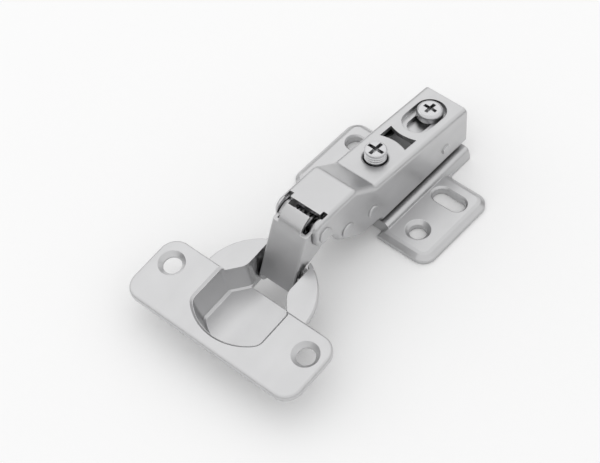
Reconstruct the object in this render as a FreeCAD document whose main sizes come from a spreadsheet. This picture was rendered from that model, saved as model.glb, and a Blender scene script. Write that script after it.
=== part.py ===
import FreeCAD, Part
import os
import Sketcher
from FreeCAD import Placement, Rotation, Vector

# A slide-on concealed cabinet hinge with a cranked arm, shown fully open.
# Row frame: millimetres, +Z out of the cabinet side, +Y along the arm towards the back of the cabinet,
# origin midway between the two round screw holes, on the face that lies against the cabinet side.
SIZES = {
    # mounting plate
    "wing_front_y": -7.8,
    "wing_rear_y": 21.9,
    "wing_corner_r": 4.0,
    "wing_rim_z": 1.2,
    "wing_top_z": 2.8,
    "wing_slope": 1.7,
    "wing_skirt": 1.0,
    "plate_sheet": 1.6,
    "screw_spacing": 32.0,
    "wing_margin": 9.0,
    "screw_hole_r": 2.6,
    "screw_sink": 1.1,
    "slot_set_back": 14.2,
    "slot_length": 10.6,
    "slot_width": 5.4,
    "slot_sink": 0.55,
    "boss_wall": 0.6,
    "spine_foot_gap": 2.4,
    "spine_lean": 0.7,
    "spine_top_z": 4.2,
    "spine_front_y": -5.0,
    "spine_rear_y": 32.0,
    "saddle_side_gap": 0.5,
    "saddle_front_y": -1.2,
    "saddle_rear_y": 30.6,
    "window_half": 3.6,
    "window_ahead": 0.5,
    "window_length": 4.4,
    "thread_wall": 1.1,
    "saddle_neck_drop": 2.2,
    "seat_gap": 0.05,
    "neck_gap": 0.2,
    "neck_end_gap": 0.3,
    "hollow_drop": 0.4,
    "cut_past": 1.0,
    # arm
    "arm_width": 15.2,
    "arm_sheet": 1.4,
    "arm_bend_r": 1.55,
    "arm_tail": 7.4,
    "arm_edge_z": 4.9,
    "arm_fall": 5.0,
    "crank_y": -7.6,
    "crank_z": 22.2,
    "ramp_top_y": -16.0,
    "nose_y": -28.2,
    "nose_rise": 5.6,
    "ear_reach": 3.6,
    "ear_drop": 4.1,
    "ear_rise": 5.2,
    "ear_corner_r": 3.4,
    "lobe_reach": 3.4,
    "lobe_drop": 5.0,
    "belly_y": -13.5,
    "belly_z": 6.9,
    "lobe_heel": 2.5,
    "lobe_front_drop": 1.9,
    "lobe_back": 0.7,
    "belly_ahead": 1.7,
    "belly_rise": 0.85,
    "belly_flat": 1.0,
    "belly_run": 7.2,
    "belly_sink": 0.3,
    "belly_end": 8.1,
    "relief_in": 1.0,
    "relief_out": 0.5,
    "relief_length": 2.5,
    "collar_y": 1.1,
    "collar_wall": 1.0,
    "collar_neck": 1.2,
    "collar_mouth": 1.0,
    "bow_y": 11.1,
    "bow_length": 9.0,
    "bow_width": 5.1,
    "bow_waist": 3.2,
    "recess_y": 23.0,
    "recess_travel": 6.0,
    "recess_r": 4.6,
    "recess_depth": 1.5,
    "recess_set_back": 0.4,
    "pan_wall": 1.2,
    "pan_rim_drop": 0.5,
    "fixing_slot_r": 2.75,
    "fixing_slot_back": 0.8,
    "dimple_y": 23.3,
    "dimple_z": 10.2,
    "dimple_r": 1.55,
    "dimple_rise": 0.4,
    # pins of the arm
    "front_pin_y": -29.2,
    "front_pin_z": 22.5,
    "rear_pin_y": -20.1,
    "rear_pin_z": 15.6,
    "arm_pin_r": 1.8,
    "arm_pin_head_r": 2.35,
    "spring_pin_y": -9.4,
    "spring_pin_z": 13.6,
    "spring_pin_r": 1.4,
    "spring_pin_head_r": 1.9,
    "pin_head_rise": 0.55,
    "pin_dome": 0.44,
    "running_gap": 0.05,
    # outer link
    "link_side_gap": 0.2,
    "link_sheet": 1.0,
    "link_bend_r": 0.8,
    "link_tab_width": 7.8,
    "link_tab_angle": 105.0,
    "link_reach": 6.4,
    "link_eye_r": 4.0,
    "link_foot_r": 2.9,
    "link_neck": 6.5,
    "link_heel_y": -33.8,
    "link_heel_z": 14.5,
    "link_heel_run": 3.9,
    "link_heel_rise": 1.6,
    "link_ear_low_angle": 20.0,
    "link_ear_top_angle": 70.0,
    # inner link
    "inner_side_gap": 0.8,
    "inner_link_sheet": 1.3,
    "inner_eye_r": 3.6,
    "inner_toe_r": 2.0,
    "inner_slot_r": 1.55,
    "inner_slot_back": 1.94,
    "inner_slot_front": 0.44,
    "inner_slot_drop": 0.2,
    "elbow_start": 9.54,
    "elbow_start_up": 1.9,
    "elbow_end": 4.44,
    "elbow_end_up": 2.5,
    "elbow_neck": 3.44,
    "elbow_neck_up": 0.8,
    "elbow_tip": 0.26,
    "elbow_tip_up": 1.5,
    "crown_end": 4.74,
    "crown_end_up": 6.0,
    "crown_start": 8.94,
    "crown_start_up": 5.6,
    "inner_web_start": 2.6,
    # closing spring
    "spring_wire_r": 0.55,
    "spring_coil_r": 3.0,
    "spring_pitch": 1.2,
    "spring_full_turns": 1.0,
    "spring_inner_x": 1.2,
    "spring_leg": 22.7,
    "spring_leg_tilt": 26.4,
    "spring_loop": 4.3,
    "spring_loop_tilt": 63.2,
    # cup, in the cup's own frame: origin at the centre of the 35 mm disc, level with the flange top
    "cup_y": -50.68,
    "cup_z": 13.71,
    "cup_tilt": 7.87,
    "cup_disc_r": 17.5,
    "disc_step": 1.38,
    "disc_rim": 1.6,
    "disc_bevel": 0.4,
    "cup_sheet": 0.9,
    "flange_front_y": -20.5,
    "flange_rear_y": 0.8,
    "flange_height": 1.74,
    "flange_corner_r": 5.2,
    "flange_round": 0.85,
    "flange_boss_wall": 1.0,
    "cup_screw_spacing": 48.0,
    "flange_margin": 6.0,
    "cup_screw_y": -6.4,
    "cup_screw_r": 2.65,
    "cup_screw_sink": 1.35,
    "pocket_half": 12.0,
    "pocket_shoulder_y": 0.2,
    "slot_side_gap": 1.5,
    "pocket_slot_y": 5.4,
    "gate_side_gap": 0.4,
    "slot_gate_z": -6.7,
    "pocket_depth": 10.6,
    "pocket_draft": 1.4,
    "pocket_corner_r": 3.2,
    "pocket_shoulder_r": 1.6,
    "pocket_bend_r": 4.0,
    "pocket_cove": 0.7,
    "pocket_lip": 0.7,
    "cove_angle": 45.0,
    "floor_edge_y": 4.4,
    "floor_end_y": 14.0,
    "front_cup_pin_y": 10.2,
    "front_cup_pin_z": -8.2,
    "rear_cup_pin_y": 12.7,
    "rear_cup_pin_z": -4.1,
    "cup_pin_r": 1.0,
    "staple_gap": 0.2,
    "staple_round": 0.8,
    # screws
    "adjusting_r": 3.2,
    "adjusting_rise": 3.2,
    "adjusting_neck_r": 1.75,
    "foot_side_gap": 0.6,
    "adjusting_foot": 1.0,
    "adjusting_foot_gap": 0.2,
    "adjusting_head_gap": 0.5,
    "adjusting_round": 0.5,
    "thread_pitch": 0.8,
    "thread_depth": 0.3,
    "fixing_y": 25.5,
    "fixing_r": 2.5,
    "fixing_head_r": 3.9,
    "fixing_head": 2.6,
    "fixing_round": 1.3,
    "fixing_tip": 0.5,
    "fixing_past": 1.0,
    "cross_width": 1.1,
    "cross_reach": 2.1,
    "adjusting_cross_reach": 2.6,
    "cross_depth": 1.3,
    "cross_draft": 8.0,
}

NOSE_Z = "(Sizes.front_pin_z + Sizes.nose_rise)"
ARM_REAR_Y = "(Sizes.fixing_y + Sizes.arm_tail)"
RAMP = f"(atan(({NOSE_Z} - Sizes.crank_z) / (Sizes.crank_y - Sizes.ramp_top_y)) / 1 deg)"
DECK_Z = "(Sizes.crank_z + Sizes.crank_y * tan(Sizes.arm_fall))"
SADDLE_DROP = "(Sizes.recess_depth + Sizes.arm_sheet + Sizes.seat_gap)"
ARM_INSIDE = "(Sizes.arm_width - 2 * Sizes.arm_sheet)"
PLATE_HALF = "(Sizes.screw_spacing / 2 + Sizes.wing_margin)"
SPINE_FOOT = (
    "(Sizes.screw_spacing / 2 - Sizes.screw_hole_r - Sizes.screw_sink - Sizes.spine_foot_gap)"
)
SPINE_HALF = f"({SPINE_FOOT} - Sizes.spine_lean)"
SADDLE_HALF = f"({ARM_INSIDE} / 2 - Sizes.saddle_side_gap)"
LINK_HALF = f"({ARM_INSIDE} / 2 - Sizes.link_side_gap)"
INNER_HALF = f"({LINK_HALF} - Sizes.link_sheet - Sizes.inner_side_gap)"
FLANGE_HALF = "(Sizes.cup_screw_spacing / 2 + Sizes.flange_margin)"
SLOT_HALF = f"({LINK_HALF} + Sizes.slot_side_gap)"
GATE_HALF = f"({LINK_HALF} + Sizes.gate_side_gap)"

doc = FreeCAD.newDocument("cranked_hinge")


def make_sheet():
    sheet = doc.addObject("Spreadsheet::Sheet", "Sizes")
    for row, (alias, number) in enumerate(SIZES.items(), start=1):
        sheet.set(f"A{row}", alias)
        sheet.set(f"B{row}", str(number))
        sheet.setAlias(f"B{row}", alias)
    doc.recompute()
    return sheet


sheet = make_sheet()


def number(text):
    """The present value of an expression, in millimetres or degrees."""
    found = sheet.evalExpression(str(text))
    return float(getattr(found, "Value", found))


def bind(thing, prop, text):
    thing.setExpression(prop, str(text))


def make_body(name):
    body = doc.addObject("PartDesign::Body", name)
    body.Label = name
    return body


def make_sketch(body, name, role, lift="0", deck=False):
    """A sketch on one of the body's own planes, lifted along its normal.

    With deck the XY plane is turned to lie in the arm's sloping top, which falls towards the rear.
    """
    sketch = body.newObject("Sketcher::SketchObject", name)
    plane = [item for item in body.Origin.OriginFeatures if item.Role == role][0]
    sketch.AttachmentSupport = [(plane, "")]
    sketch.MapMode = "FlatFace"
    if deck:
        sketch.AttachmentOffset = Placement(Vector(0, 0, 0), Rotation(Vector(-1, 0, 0), 1))
        bind(sketch, "AttachmentOffset.Rotation.Angle", "Sizes.arm_fall")
        bind(sketch, "AttachmentOffset.Base.y", f"({lift}) * sin(Sizes.arm_fall)")
        bind(sketch, "AttachmentOffset.Base.z", f"{DECK_Z} + ({lift}) * cos(Sizes.arm_fall)")
    else:
        bind(sketch, "AttachmentOffset.Base.z", lift)
    return sketch


def pin_point(sketch, item, end, u, v):
    """Hold a point of the sketch at two dimensions from the sketch origin."""
    for kind, text in (("DistanceX", u), ("DistanceY", v)):
        index = sketch.addConstraint(Sketcher.Constraint(kind, -1, 1, item, end, number(text)))
        bind(sketch, f"Constraints[{index}]", text)


def draw_outline(sketch, corners):
    """A closed outline. A corner is (u, v), or (u, v, radius) where an arc leads to it.

    The arc bulges to the right of the way the outline runs, which is outwards on an outline drawn
    anticlockwise, or to the left where the corner has a fourth entry, "hollow".
    """
    places = [Vector(number(c[0]), number(c[1]), 0) for c in corners]
    count = len(corners)
    items = []
    for i in range(count):
        start, end = places[i], places[(i + 1) % count]
        bend = corners[(i + 1) % count]
        if len(bend) == 2:
            items.append((sketch.addGeometry(Part.LineSegment(start, end), False), 1, 2))
            continue
        radius = number(bend[2])
        chord = end - start
        half = chord.Length / 2
        across = Vector(chord.y, -chord.x, 0).normalize()
        if len(bend) == 4:
            across = across * -1
        rise = (radius * radius - half * half) ** 0.5
        middle = (start + end) * 0.5 + across * (radius - rise)
        arc = Part.Arc(start, middle, end)
        item = sketch.addGeometry(arc, False)
        forward = (sketch.getPoint(item, 1) - start).Length < 1e-6
        items.append((item, 1, 2) if forward else (item, 2, 1))
    for i in range(count):
        item, first, last = items[i]
        after = items[(i + 1) % count]
        sketch.addConstraint(Sketcher.Constraint("Coincident", item, last, after[0], after[1]))
        pin_point(sketch, item, first, corners[i][0], corners[i][1])
        bend = corners[(i + 1) % count]
        if len(bend) > 2:
            index = sketch.addConstraint(Sketcher.Constraint("Radius", item, number(bend[2])))
            bind(sketch, f"Constraints[{index}]", bend[2])
    return sketch


def draw_circle(sketch, u, v, radius):
    item = sketch.addGeometry(
        Part.Circle(Vector(number(u), number(v), 0), Vector(0, 0, 1), number(radius)), False
    )
    pin_point(sketch, item, 3, u, v)
    index = sketch.addConstraint(Sketcher.Constraint("Radius", item, number(radius)))
    bind(sketch, f"Constraints[{index}]", radius)
    return sketch


def draw_link(sketch, first, second):
    """The outline of a flat link: two round ends, each (u, v, radius), and their outer tangents."""
    a = Vector(number(first[0]), number(first[1]), 0)
    b = Vector(number(second[0]), number(second[1]), 0)
    ra, rb = number(first[2]), number(second[2])
    along = b - a
    span = along.Length
    along.normalize()
    side = Vector(-along.y, along.x, 0)
    lean = (ra - rb) / span
    lift = (1 - lean * lean) ** 0.5
    up = along * lean + side * lift
    down = along * lean - side * lift
    items = [
        sketch.addGeometry(Part.Arc(a + up * ra, a - along * ra, a + down * ra), False),
        sketch.addGeometry(Part.LineSegment(a + down * ra, b + down * rb), False),
        sketch.addGeometry(Part.Arc(b + down * rb, b + along * rb, b + up * rb), False),
        sketch.addGeometry(Part.LineSegment(b + up * rb, a + up * ra), False),
    ]
    for i in range(4):
        here, after = items[i], items[(i + 1) % 4]
        place = sketch.getPoint(here, 2)
        last = 2
        if (place - sketch.getPoint(after, 1)).Length > 1e-6:
            if (place - sketch.getPoint(after, 2)).Length < 1e-6:
                sketch.addConstraint(Sketcher.Constraint("Tangent", here, last, after, 2))
                continue
            last = 1
        sketch.addConstraint(Sketcher.Constraint("Tangent", here, last, after, 1))
    for item, end in ((items[0], first), (items[2], second)):
        pin_point(sketch, item, 3, end[0], end[1])
        index = sketch.addConstraint(Sketcher.Constraint("Radius", item, number(end[2])))
        bind(sketch, f"Constraints[{index}]", end[2])
    return sketch


def check_feature(feature):
    if feature.Shape.isNull() or not feature.Shape.isValid():
        raise RuntimeError(f"{feature.Label} has no valid shape: {feature.getStatusString()}")


def make_pad(body, name, sketch, length, both=False, back=False, taper=None):
    pad = body.newObject("PartDesign::Pad", name)
    pad.Profile = sketch
    if taper:
        bind(pad, "TaperAngle", taper)
    if both:
        pad.SideType = "Symmetric"
    pad.Reversed = back
    bind(pad, "Length", length)
    doc.recompute()
    check_feature(pad)
    return pad


def make_pocket(body, name, sketch, length, both=False, back=False, taper=None):
    before = body.Shape.Volume
    pocket = body.newObject("PartDesign::Pocket", name)
    pocket.Profile = sketch
    if taper:
        bind(pocket, "TaperAngle", taper)
    if both:
        pocket.SideType = "Symmetric"
    pocket.Reversed = back
    bind(pocket, "Length", length)
    doc.recompute()
    check_feature(pocket)
    if body.Shape.Volume > before - 1e-3:
        raise RuntimeError(f"{body.Label}: {name} cuts nothing")
    return pocket


def edges_where(body, test):
    """Names of the edges of the body's present shape whose middle and direction pass the test."""
    names = []
    for index, edge in enumerate(body.Tip.Shape.Edges, start=1):
        if edge.Length < 1e-3:
            continue
        first, last = edge.ParameterRange
        middle = edge.valueAt((first + last) / 2)
        way = edge.tangentAt((first + last) / 2)
        if test(middle, way, edge):
            names.append(f"Edge{index}")
    return names


def make_round(body, name, test, radius, kind="PartDesign::Fillet"):
    names = edges_where(body, test)
    if not names:
        raise RuntimeError(f"{body.Label}: {name} finds no edge")
    base = body.Tip
    blend = body.newObject(kind, name)
    blend.Base = (base, names)
    bind(blend, "Size" if kind.endswith("Chamfer") else "Radius", radius)
    doc.recompute()
    check_feature(blend)
    return blend


def near(a, b, gap=0.02):
    return abs(a - b) < gap


def is_circle(edge, radius):
    return isinstance(edge.Curve, Part.Circle) and near(edge.Curve.Radius, radius)


def mirrored(corners):
    """The corners on the other side of the middle plane, turned round to keep their direction."""
    turned = []
    for here, after in zip(corners, corners[1:] + corners[:1]):
        turned.append((f"-({here[0]})", here[1]) + tuple(after[2:]))
    return turned[::-1]


def along_deck(y):
    return f"({y}) / cos(Sizes.arm_fall)"


def deck_height(y, drop):
    """Height of the arm's sloping top at y, less a drop measured square to it."""
    return f"{DECK_Z} - ({y}) * tan(Sizes.arm_fall) - ({drop}) / cos(Sizes.arm_fall)"


def mounting_plate():
    """One pressed plate: two dished wings, a raised spine between them and a saddle for the arm."""
    body = make_body("mounting_plate")
    half = PLATE_HALF
    foot = SPINE_FOOT
    inner = f"({SPINE_HALF} - Sizes.plate_sheet)"
    front, rear = "Sizes.wing_front_y", "Sizes.wing_rear_y"
    corner = "Sizes.wing_corner_r"
    wing = [
        (inner, front), (f"{half} - {corner}", front), (half, f"{front} + {corner}", corner),
        (half, f"{rear} - {corner}"), (f"{half} - {corner}", rear, corner),
    ]
    right = [(inner, "Sizes.spine_front_y")] + wing + [(foot, rear), (foot, "Sizes.spine_rear_y")]
    rim = draw_outline(make_sketch(body, "plate_outline", "XY_Plane"), right + mirrored(right))
    make_pad(body, "rim", rim, "Sizes.wing_rim_z")
    x_foot, y_rear = number(foot), number(rear)
    make_round(
        body, "waist_corners",
        lambda m, w, e: abs(w.z) > 0.9 and near(abs(m.x), x_foot) and near(m.y, y_rear),
        "Sizes.wing_corner_r / 2",
    )
    wing.append((inner, rear))
    slant = "-atan(Sizes.wing_slope / (Sizes.wing_top_z - Sizes.wing_rim_z))"
    for name, corners in (("right", wing), ("left", mirrored(wing))):
        sketch = make_sketch(body, f"{name}_wing_outline", "XY_Plane", "Sizes.wing_rim_z")
        draw_outline(sketch, corners)
        rise = "Sizes.wing_top_z - Sizes.wing_rim_z"
        make_pad(body, f"{name}_wing", sketch, rise, taper=slant)
    spine = draw_outline(make_sketch(body, "spine_section", "XZ_Plane", "-Sizes.spine_front_y"), [
        (f"-{foot}", "0"), (foot, "0"), (foot, "Sizes.wing_rim_z"),
        (SPINE_HALF, "Sizes.spine_top_z"), (f"-{SPINE_HALF}", "Sizes.spine_top_z"),
        (f"-{foot}", "Sizes.wing_rim_z"),
    ])
    make_pad(body, "spine", spine, "Sizes.spine_rear_y - Sizes.spine_front_y", back=True)
    top = number("Sizes.spine_top_z")
    make_round(
        body, "spine_bends",
        lambda m, w, e: abs(w.y) > 0.9 and near(m.z, top),
        "Sizes.plate_sheet",
    )
    foot_z = "Sizes.wing_rim_z"
    head_y, tail_y = "Sizes.saddle_front_y", "Sizes.saddle_rear_y"
    saddle = draw_outline(make_sketch(body, "saddle_side", "YZ_Plane"), [
        (head_y, foot_z), (tail_y, foot_z), (tail_y, deck_height(tail_y, SADDLE_DROP)),
        (head_y, deck_height(head_y, SADDLE_DROP)),
    ])
    make_pad(body, "saddle", saddle, f"{SADDLE_HALF} * 2", both=True)
    x_wall = number(SADDLE_HALF)
    make_round(
        body, "saddle_bends",
        lambda m, w, e: near(abs(m.x), x_wall) and abs(w.y) > 0.9 and m.z > 2 * top,
        "Sizes.plate_sheet",
    )
    sheet_in, past = "Sizes.plate_sheet", "Sizes.cut_past"
    hollow = draw_outline(make_sketch(body, "saddle_inside", "YZ_Plane"), [
        (f"{head_y} - {past}", f"-{past}"), (f"{tail_y} + {past}", f"-{past}"),
        (f"{tail_y} + {past}", deck_height(f"{tail_y} + {past}", f"{SADDLE_DROP} + {sheet_in}")),
        (f"{head_y} - {past}", deck_height(f"{head_y} - {past}", f"{SADDLE_DROP} + {sheet_in}")),
    ])
    make_pocket(body, "saddle_hollow", hollow, f"({SADDLE_HALF} - {sheet_in}) * 2", both=True)
    under = draw_outline(
        make_sketch(body, "spine_inside", "XZ_Plane", f"-Sizes.spine_front_y - {sheet_in}"), [
            (f"-{foot} + {sheet_in}", f"-{past}"), (f"{foot} - {sheet_in}", f"-{past}"),
            (f"{foot} - {sheet_in}", f"{foot_z} - Sizes.hollow_drop"),
            (f"{SPINE_HALF} - {sheet_in}", f"Sizes.spine_top_z - {sheet_in}"),
            (f"-{SPINE_HALF} + {sheet_in}", f"Sizes.spine_top_z - {sheet_in}"),
            (f"-{foot} + {sheet_in}", f"{foot_z} - Sizes.hollow_drop"),
        ])
    make_pocket(body, "spine_hollow", under, f"Sizes.spine_rear_y - Sizes.spine_front_y + {past}")
    skirt = "Sizes.wing_skirt"
    dish = [
        (f"{foot} + {skirt}", f"{front} + {sheet_in} + {skirt}"),
        (f"{half} - {sheet_in} - {skirt}", f"{front} + {sheet_in} + {skirt}"),
        (f"{half} - {sheet_in} - {skirt}", f"{rear} - {sheet_in} - {skirt}"),
        (f"{foot} + {skirt}", f"{rear} - {sheet_in} - {skirt}"),
    ]
    depth = f"Sizes.wing_top_z - {sheet_in}"
    hole_x = "Sizes.screw_spacing / 2"
    slot_half = "(Sizes.slot_length - Sizes.slot_width) / 2"
    boss_r = "Sizes.screw_hole_r + Sizes.screw_sink + Sizes.boss_wall"
    for name, corners in (("right", dish), ("left", mirrored(dish))):
        sketch = draw_outline(make_sketch(body, f"{name}_wing_inside", "XY_Plane"), corners)
        make_pocket(body, f"{name}_wing_hollow", sketch, depth, back=True)
    for name, side in (("right", ""), ("left", "-")):
        sketch = make_sketch(body, f"{name}_hole_boss_outline", "XY_Plane")
        draw_circle(sketch, f"{side}{hole_x}", "0", boss_r)
        make_pad(body, f"{name}_hole_boss", sketch, depth)
        sketch = make_sketch(body, f"{name}_slot_boss_outline", "XY_Plane")
        draw_link(
            sketch,
            (f"{side}{hole_x} - {slot_half}", "Sizes.slot_set_back", boss_r),
            (f"{side}{hole_x} + {slot_half}", "Sizes.slot_set_back", boss_r),
        )
        make_pad(body, f"{name}_slot_boss", sketch, depth)
    holes = make_sketch(body, "screw_hole_outlines", "XY_Plane")
    for side in ("", "-"):
        draw_circle(holes, f"{side}{hole_x}", "0", "Sizes.screw_hole_r")
        draw_link(
            holes,
            (f"{side}{hole_x} - {slot_half}", "Sizes.slot_set_back", "Sizes.slot_width / 2"),
            (f"{side}{hole_x} + {slot_half}", "Sizes.slot_set_back", "Sizes.slot_width / 2"),
        )
    make_pocket(body, "screw_holes", holes, "Sizes.wing_top_z", back=True)
    z_top = number("Sizes.wing_top_z")
    hole_r = number("Sizes.screw_hole_r")
    slot_x, slot_y = number(hole_x), number("Sizes.slot_set_back")
    slot_reach, slot_width = number("Sizes.slot_length"), number("Sizes.slot_width")
    make_round(
        body, "screw_sinks",
        lambda m, w, e: near(m.z, z_top) and is_circle(e, hole_r),
        "Sizes.screw_sink", kind="PartDesign::Chamfer",
    )
    make_round(
        body, "slot_sinks",
        lambda m, w, e: (
            near(m.z, z_top) and abs(abs(m.x) - slot_x) < slot_reach and abs(m.y - slot_y) < slot_width
        ),
        "Sizes.slot_sink", kind="PartDesign::Chamfer",
    )
    neck = "(Sizes.adjusting_neck_r + Sizes.neck_gap)"
    neck_y = "(Sizes.collar_y + Sizes.recess_travel + Sizes.neck_end_gap)"
    over_spine = f"Sizes.spine_top_z + {past}"
    opening = draw_outline(make_sketch(body, "saddle_front_slot", "XY_Plane", over_spine), [
        (f"-{neck}", f"{head_y} - {past}"), (neck, f"{head_y} - {past}"), (neck, neck_y),
        ("0", f"{neck_y} + {neck}", neck), (f"-{neck}", neck_y, neck),
    ])
    make_pocket(body, "front_slot", opening, NOSE_Z, back=True)
    window, window_y = "Sizes.window_half", "(Sizes.bow_y - Sizes.window_ahead)"
    opening = draw_outline(make_sketch(body, "saddle_window_outline", "XY_Plane", over_spine), [
        (f"-{window}", window_y), (window, window_y),
        (window, f"{window_y} + Sizes.window_length"), (f"-{window}", f"{window_y} + Sizes.window_length"),
    ])
    make_pocket(body, "saddle_opening", opening, NOSE_Z, back=True)
    thread_r = "Sizes.fixing_r + Sizes.running_gap"
    lift = f"-{SADDLE_DROP} - {sheet_in}"
    neck = make_sketch(body, "thread_neck_outline", "XY_Plane", lift, deck=True)
    draw_circle(neck, "0", along_deck("Sizes.fixing_y"), f"{thread_r} + Sizes.thread_wall")
    make_pad(body, "thread_neck", neck, "Sizes.saddle_neck_drop", back=True)
    hole = make_sketch(body, "thread_bore_outline", "XY_Plane", f"-{SADDLE_DROP} + {past}", deck=True)
    draw_circle(hole, "0", along_deck("Sizes.fixing_y"), thread_r)
    make_pocket(body, "thread_bore", hole, f"{sheet_in} + Sizes.saddle_neck_drop + 2 * {past}")
    return body


def hinge_arm():
    """The cranked arm: a channel folded from one sheet, open below, with ears ahead of its top."""
    body = make_body("hinge_arm")
    sheet_t, past = "Sizes.arm_sheet", "Sizes.cut_past"
    ear_y = "Sizes.front_pin_y - Sizes.ear_reach"
    ear_low = "Sizes.front_pin_z - Sizes.ear_drop"
    crank = ("Sizes.crank_y", "Sizes.crank_z")
    outline = draw_outline(make_sketch(body, "arm_side", "YZ_Plane"), [
        (ARM_REAR_Y, "Sizes.arm_edge_z"),
        (ARM_REAR_Y, deck_height(ARM_REAR_Y, "0")),
        crank,
        ("Sizes.ramp_top_y", NOSE_Z),
        (ear_y, NOSE_Z),
        (ear_y, ear_low),
        ("Sizes.rear_pin_y - Sizes.lobe_reach - Sizes.lobe_heel", ear_low),
        ("Sizes.rear_pin_y - Sizes.lobe_reach", "Sizes.rear_pin_z - Sizes.lobe_front_drop"),
        ("Sizes.rear_pin_y + Sizes.lobe_back", "Sizes.rear_pin_z - Sizes.lobe_drop"),
        ("Sizes.belly_y - Sizes.belly_ahead", "Sizes.belly_z + Sizes.belly_rise"),
        ("Sizes.belly_y + Sizes.belly_flat", "Sizes.belly_z"),
        ("Sizes.belly_y + Sizes.belly_run", "Sizes.belly_z - Sizes.belly_sink"),
        ("Sizes.belly_y + Sizes.belly_end", "Sizes.arm_edge_z"),
    ])
    make_pad(body, "arm_block", outline, "Sizes.arm_width", both=True)
    y_ear, z_ear = number(ear_y), number(ear_low)
    y_ramp, z_nose = number("Sizes.ramp_top_y"), number(NOSE_Z)
    y_crank, fold = number("Sizes.crank_y"), number("Sizes.arm_sheet")
    make_round(
        body, "ear_corners",
        lambda m, w, e: abs(w.x) > 0.9 and near(m.y, y_ear),
        "Sizes.ear_corner_r",
    )
    make_round(
        body, "ramp_bend",
        lambda m, w, e: abs(w.x) > 0.9 and near(m.y, y_ramp) and near(m.z, z_nose),
        "Sizes.arm_bend_r * 2",
    )
    make_round(
        body, "crank_bend",
        lambda m, w, e: abs(w.x) > 0.9 and near(m.y, y_crank),
        "Sizes.arm_bend_r",
    )
    make_round(
        body, "belly_corners",
        lambda m, w, e: abs(w.x) > 0.9 and m.z < z_ear + 0.1 and m.y < y_crank + 2 * fold,
        "Sizes.arm_sheet / 2",
    )
    half = number("Sizes.arm_width / 2")
    y_tip = y_ear + number("Sizes.ear_corner_r / 2")
    z_front, z_rear = number("Sizes.front_pin_z"), number("Sizes.rear_pin_z")

    def on_top_rim(m, w, e):
        if not near(abs(m.x), half) or abs(w.x) > 0.1:
            return False
        if m.y > y_crank:
            return m.z > z_rear and abs(w.z) < 0.5
        return m.z > z_front and m.y > y_tip
    make_round(body, "side_bends", on_top_rim, "Sizes.arm_bend_r")
    bumps = draw_circle(
        make_sketch(body, "dimple_outline", "YZ_Plane"),
        "Sizes.dimple_y", "Sizes.dimple_z", "Sizes.dimple_r",
    )
    make_pad(body, "dimples", bumps, "Sizes.arm_width + 2 * Sizes.dimple_rise", both=True)
    lean = f"({RAMP} + Sizes.arm_fall) / 2"
    turn = f"({RAMP} - Sizes.arm_fall) / 2"
    inside = draw_outline(make_sketch(body, "arm_inside", "YZ_Plane"), [
        (f"{ARM_REAR_Y} + {past}", "0"),
        (f"{ARM_REAR_Y} + {past}", deck_height(f"{ARM_REAR_Y} + {past}", sheet_t)),
        (f"Sizes.crank_y - {sheet_t} * sin({lean}) / cos({turn})",
         f"Sizes.crank_z - {sheet_t} * cos({lean}) / cos({turn})"),
        (f"Sizes.ramp_top_y - {sheet_t} * tan({RAMP} / 2)", f"{NOSE_Z} - {sheet_t}"),
        ("Sizes.nose_y", f"{NOSE_Z} - {sheet_t}"),
        ("Sizes.nose_y", f"{NOSE_Z} + {past}"),
        (f"{ear_y} - {past}", f"{NOSE_Z} + {past}"),
        (f"{ear_y} - {past}", "0"),
    ])
    make_pocket(body, "channel", inside, ARM_INSIDE, both=True)
    relief_in = f"{ARM_INSIDE} / 2 - Sizes.relief_in"
    relief_out = f"{ARM_INSIDE} / 2 + Sizes.relief_out"
    relief_y = f"(Sizes.nose_y - {past})"
    relief = [
        (relief_in, relief_y), (relief_out, relief_y),
        (relief_out, f"{relief_y} + Sizes.relief_length"), (relief_in, f"{relief_y} + Sizes.relief_length"),
    ]
    for name, corners in (("right", relief), ("left", mirrored(relief))):
        lift = f"{NOSE_Z} - {sheet_t}"
        sketch = draw_outline(make_sketch(body, f"{name}_relief_outline", "XY_Plane", lift), corners)
        make_pocket(body, f"{name}_relief", sketch, f"{sheet_t} + {past}", back=True)
    collar_bore = "(Sizes.adjusting_r + Sizes.running_gap)"
    ring = draw_circle(
        make_sketch(body, "collar_outline", "XY_Plane", f"-{sheet_t} - Sizes.collar_neck", deck=True),
        "0", along_deck("Sizes.collar_y"), f"{collar_bore} + Sizes.collar_wall",
    )
    make_pad(body, "collar", ring, f"{sheet_t} / 2 + Sizes.collar_neck")
    pan_rear = "Sizes.fixing_y + Sizes.recess_set_back"
    pan_front = f"{pan_rear} - Sizes.recess_travel"
    pan_depth = f"Sizes.recess_depth + {sheet_t}"

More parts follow.
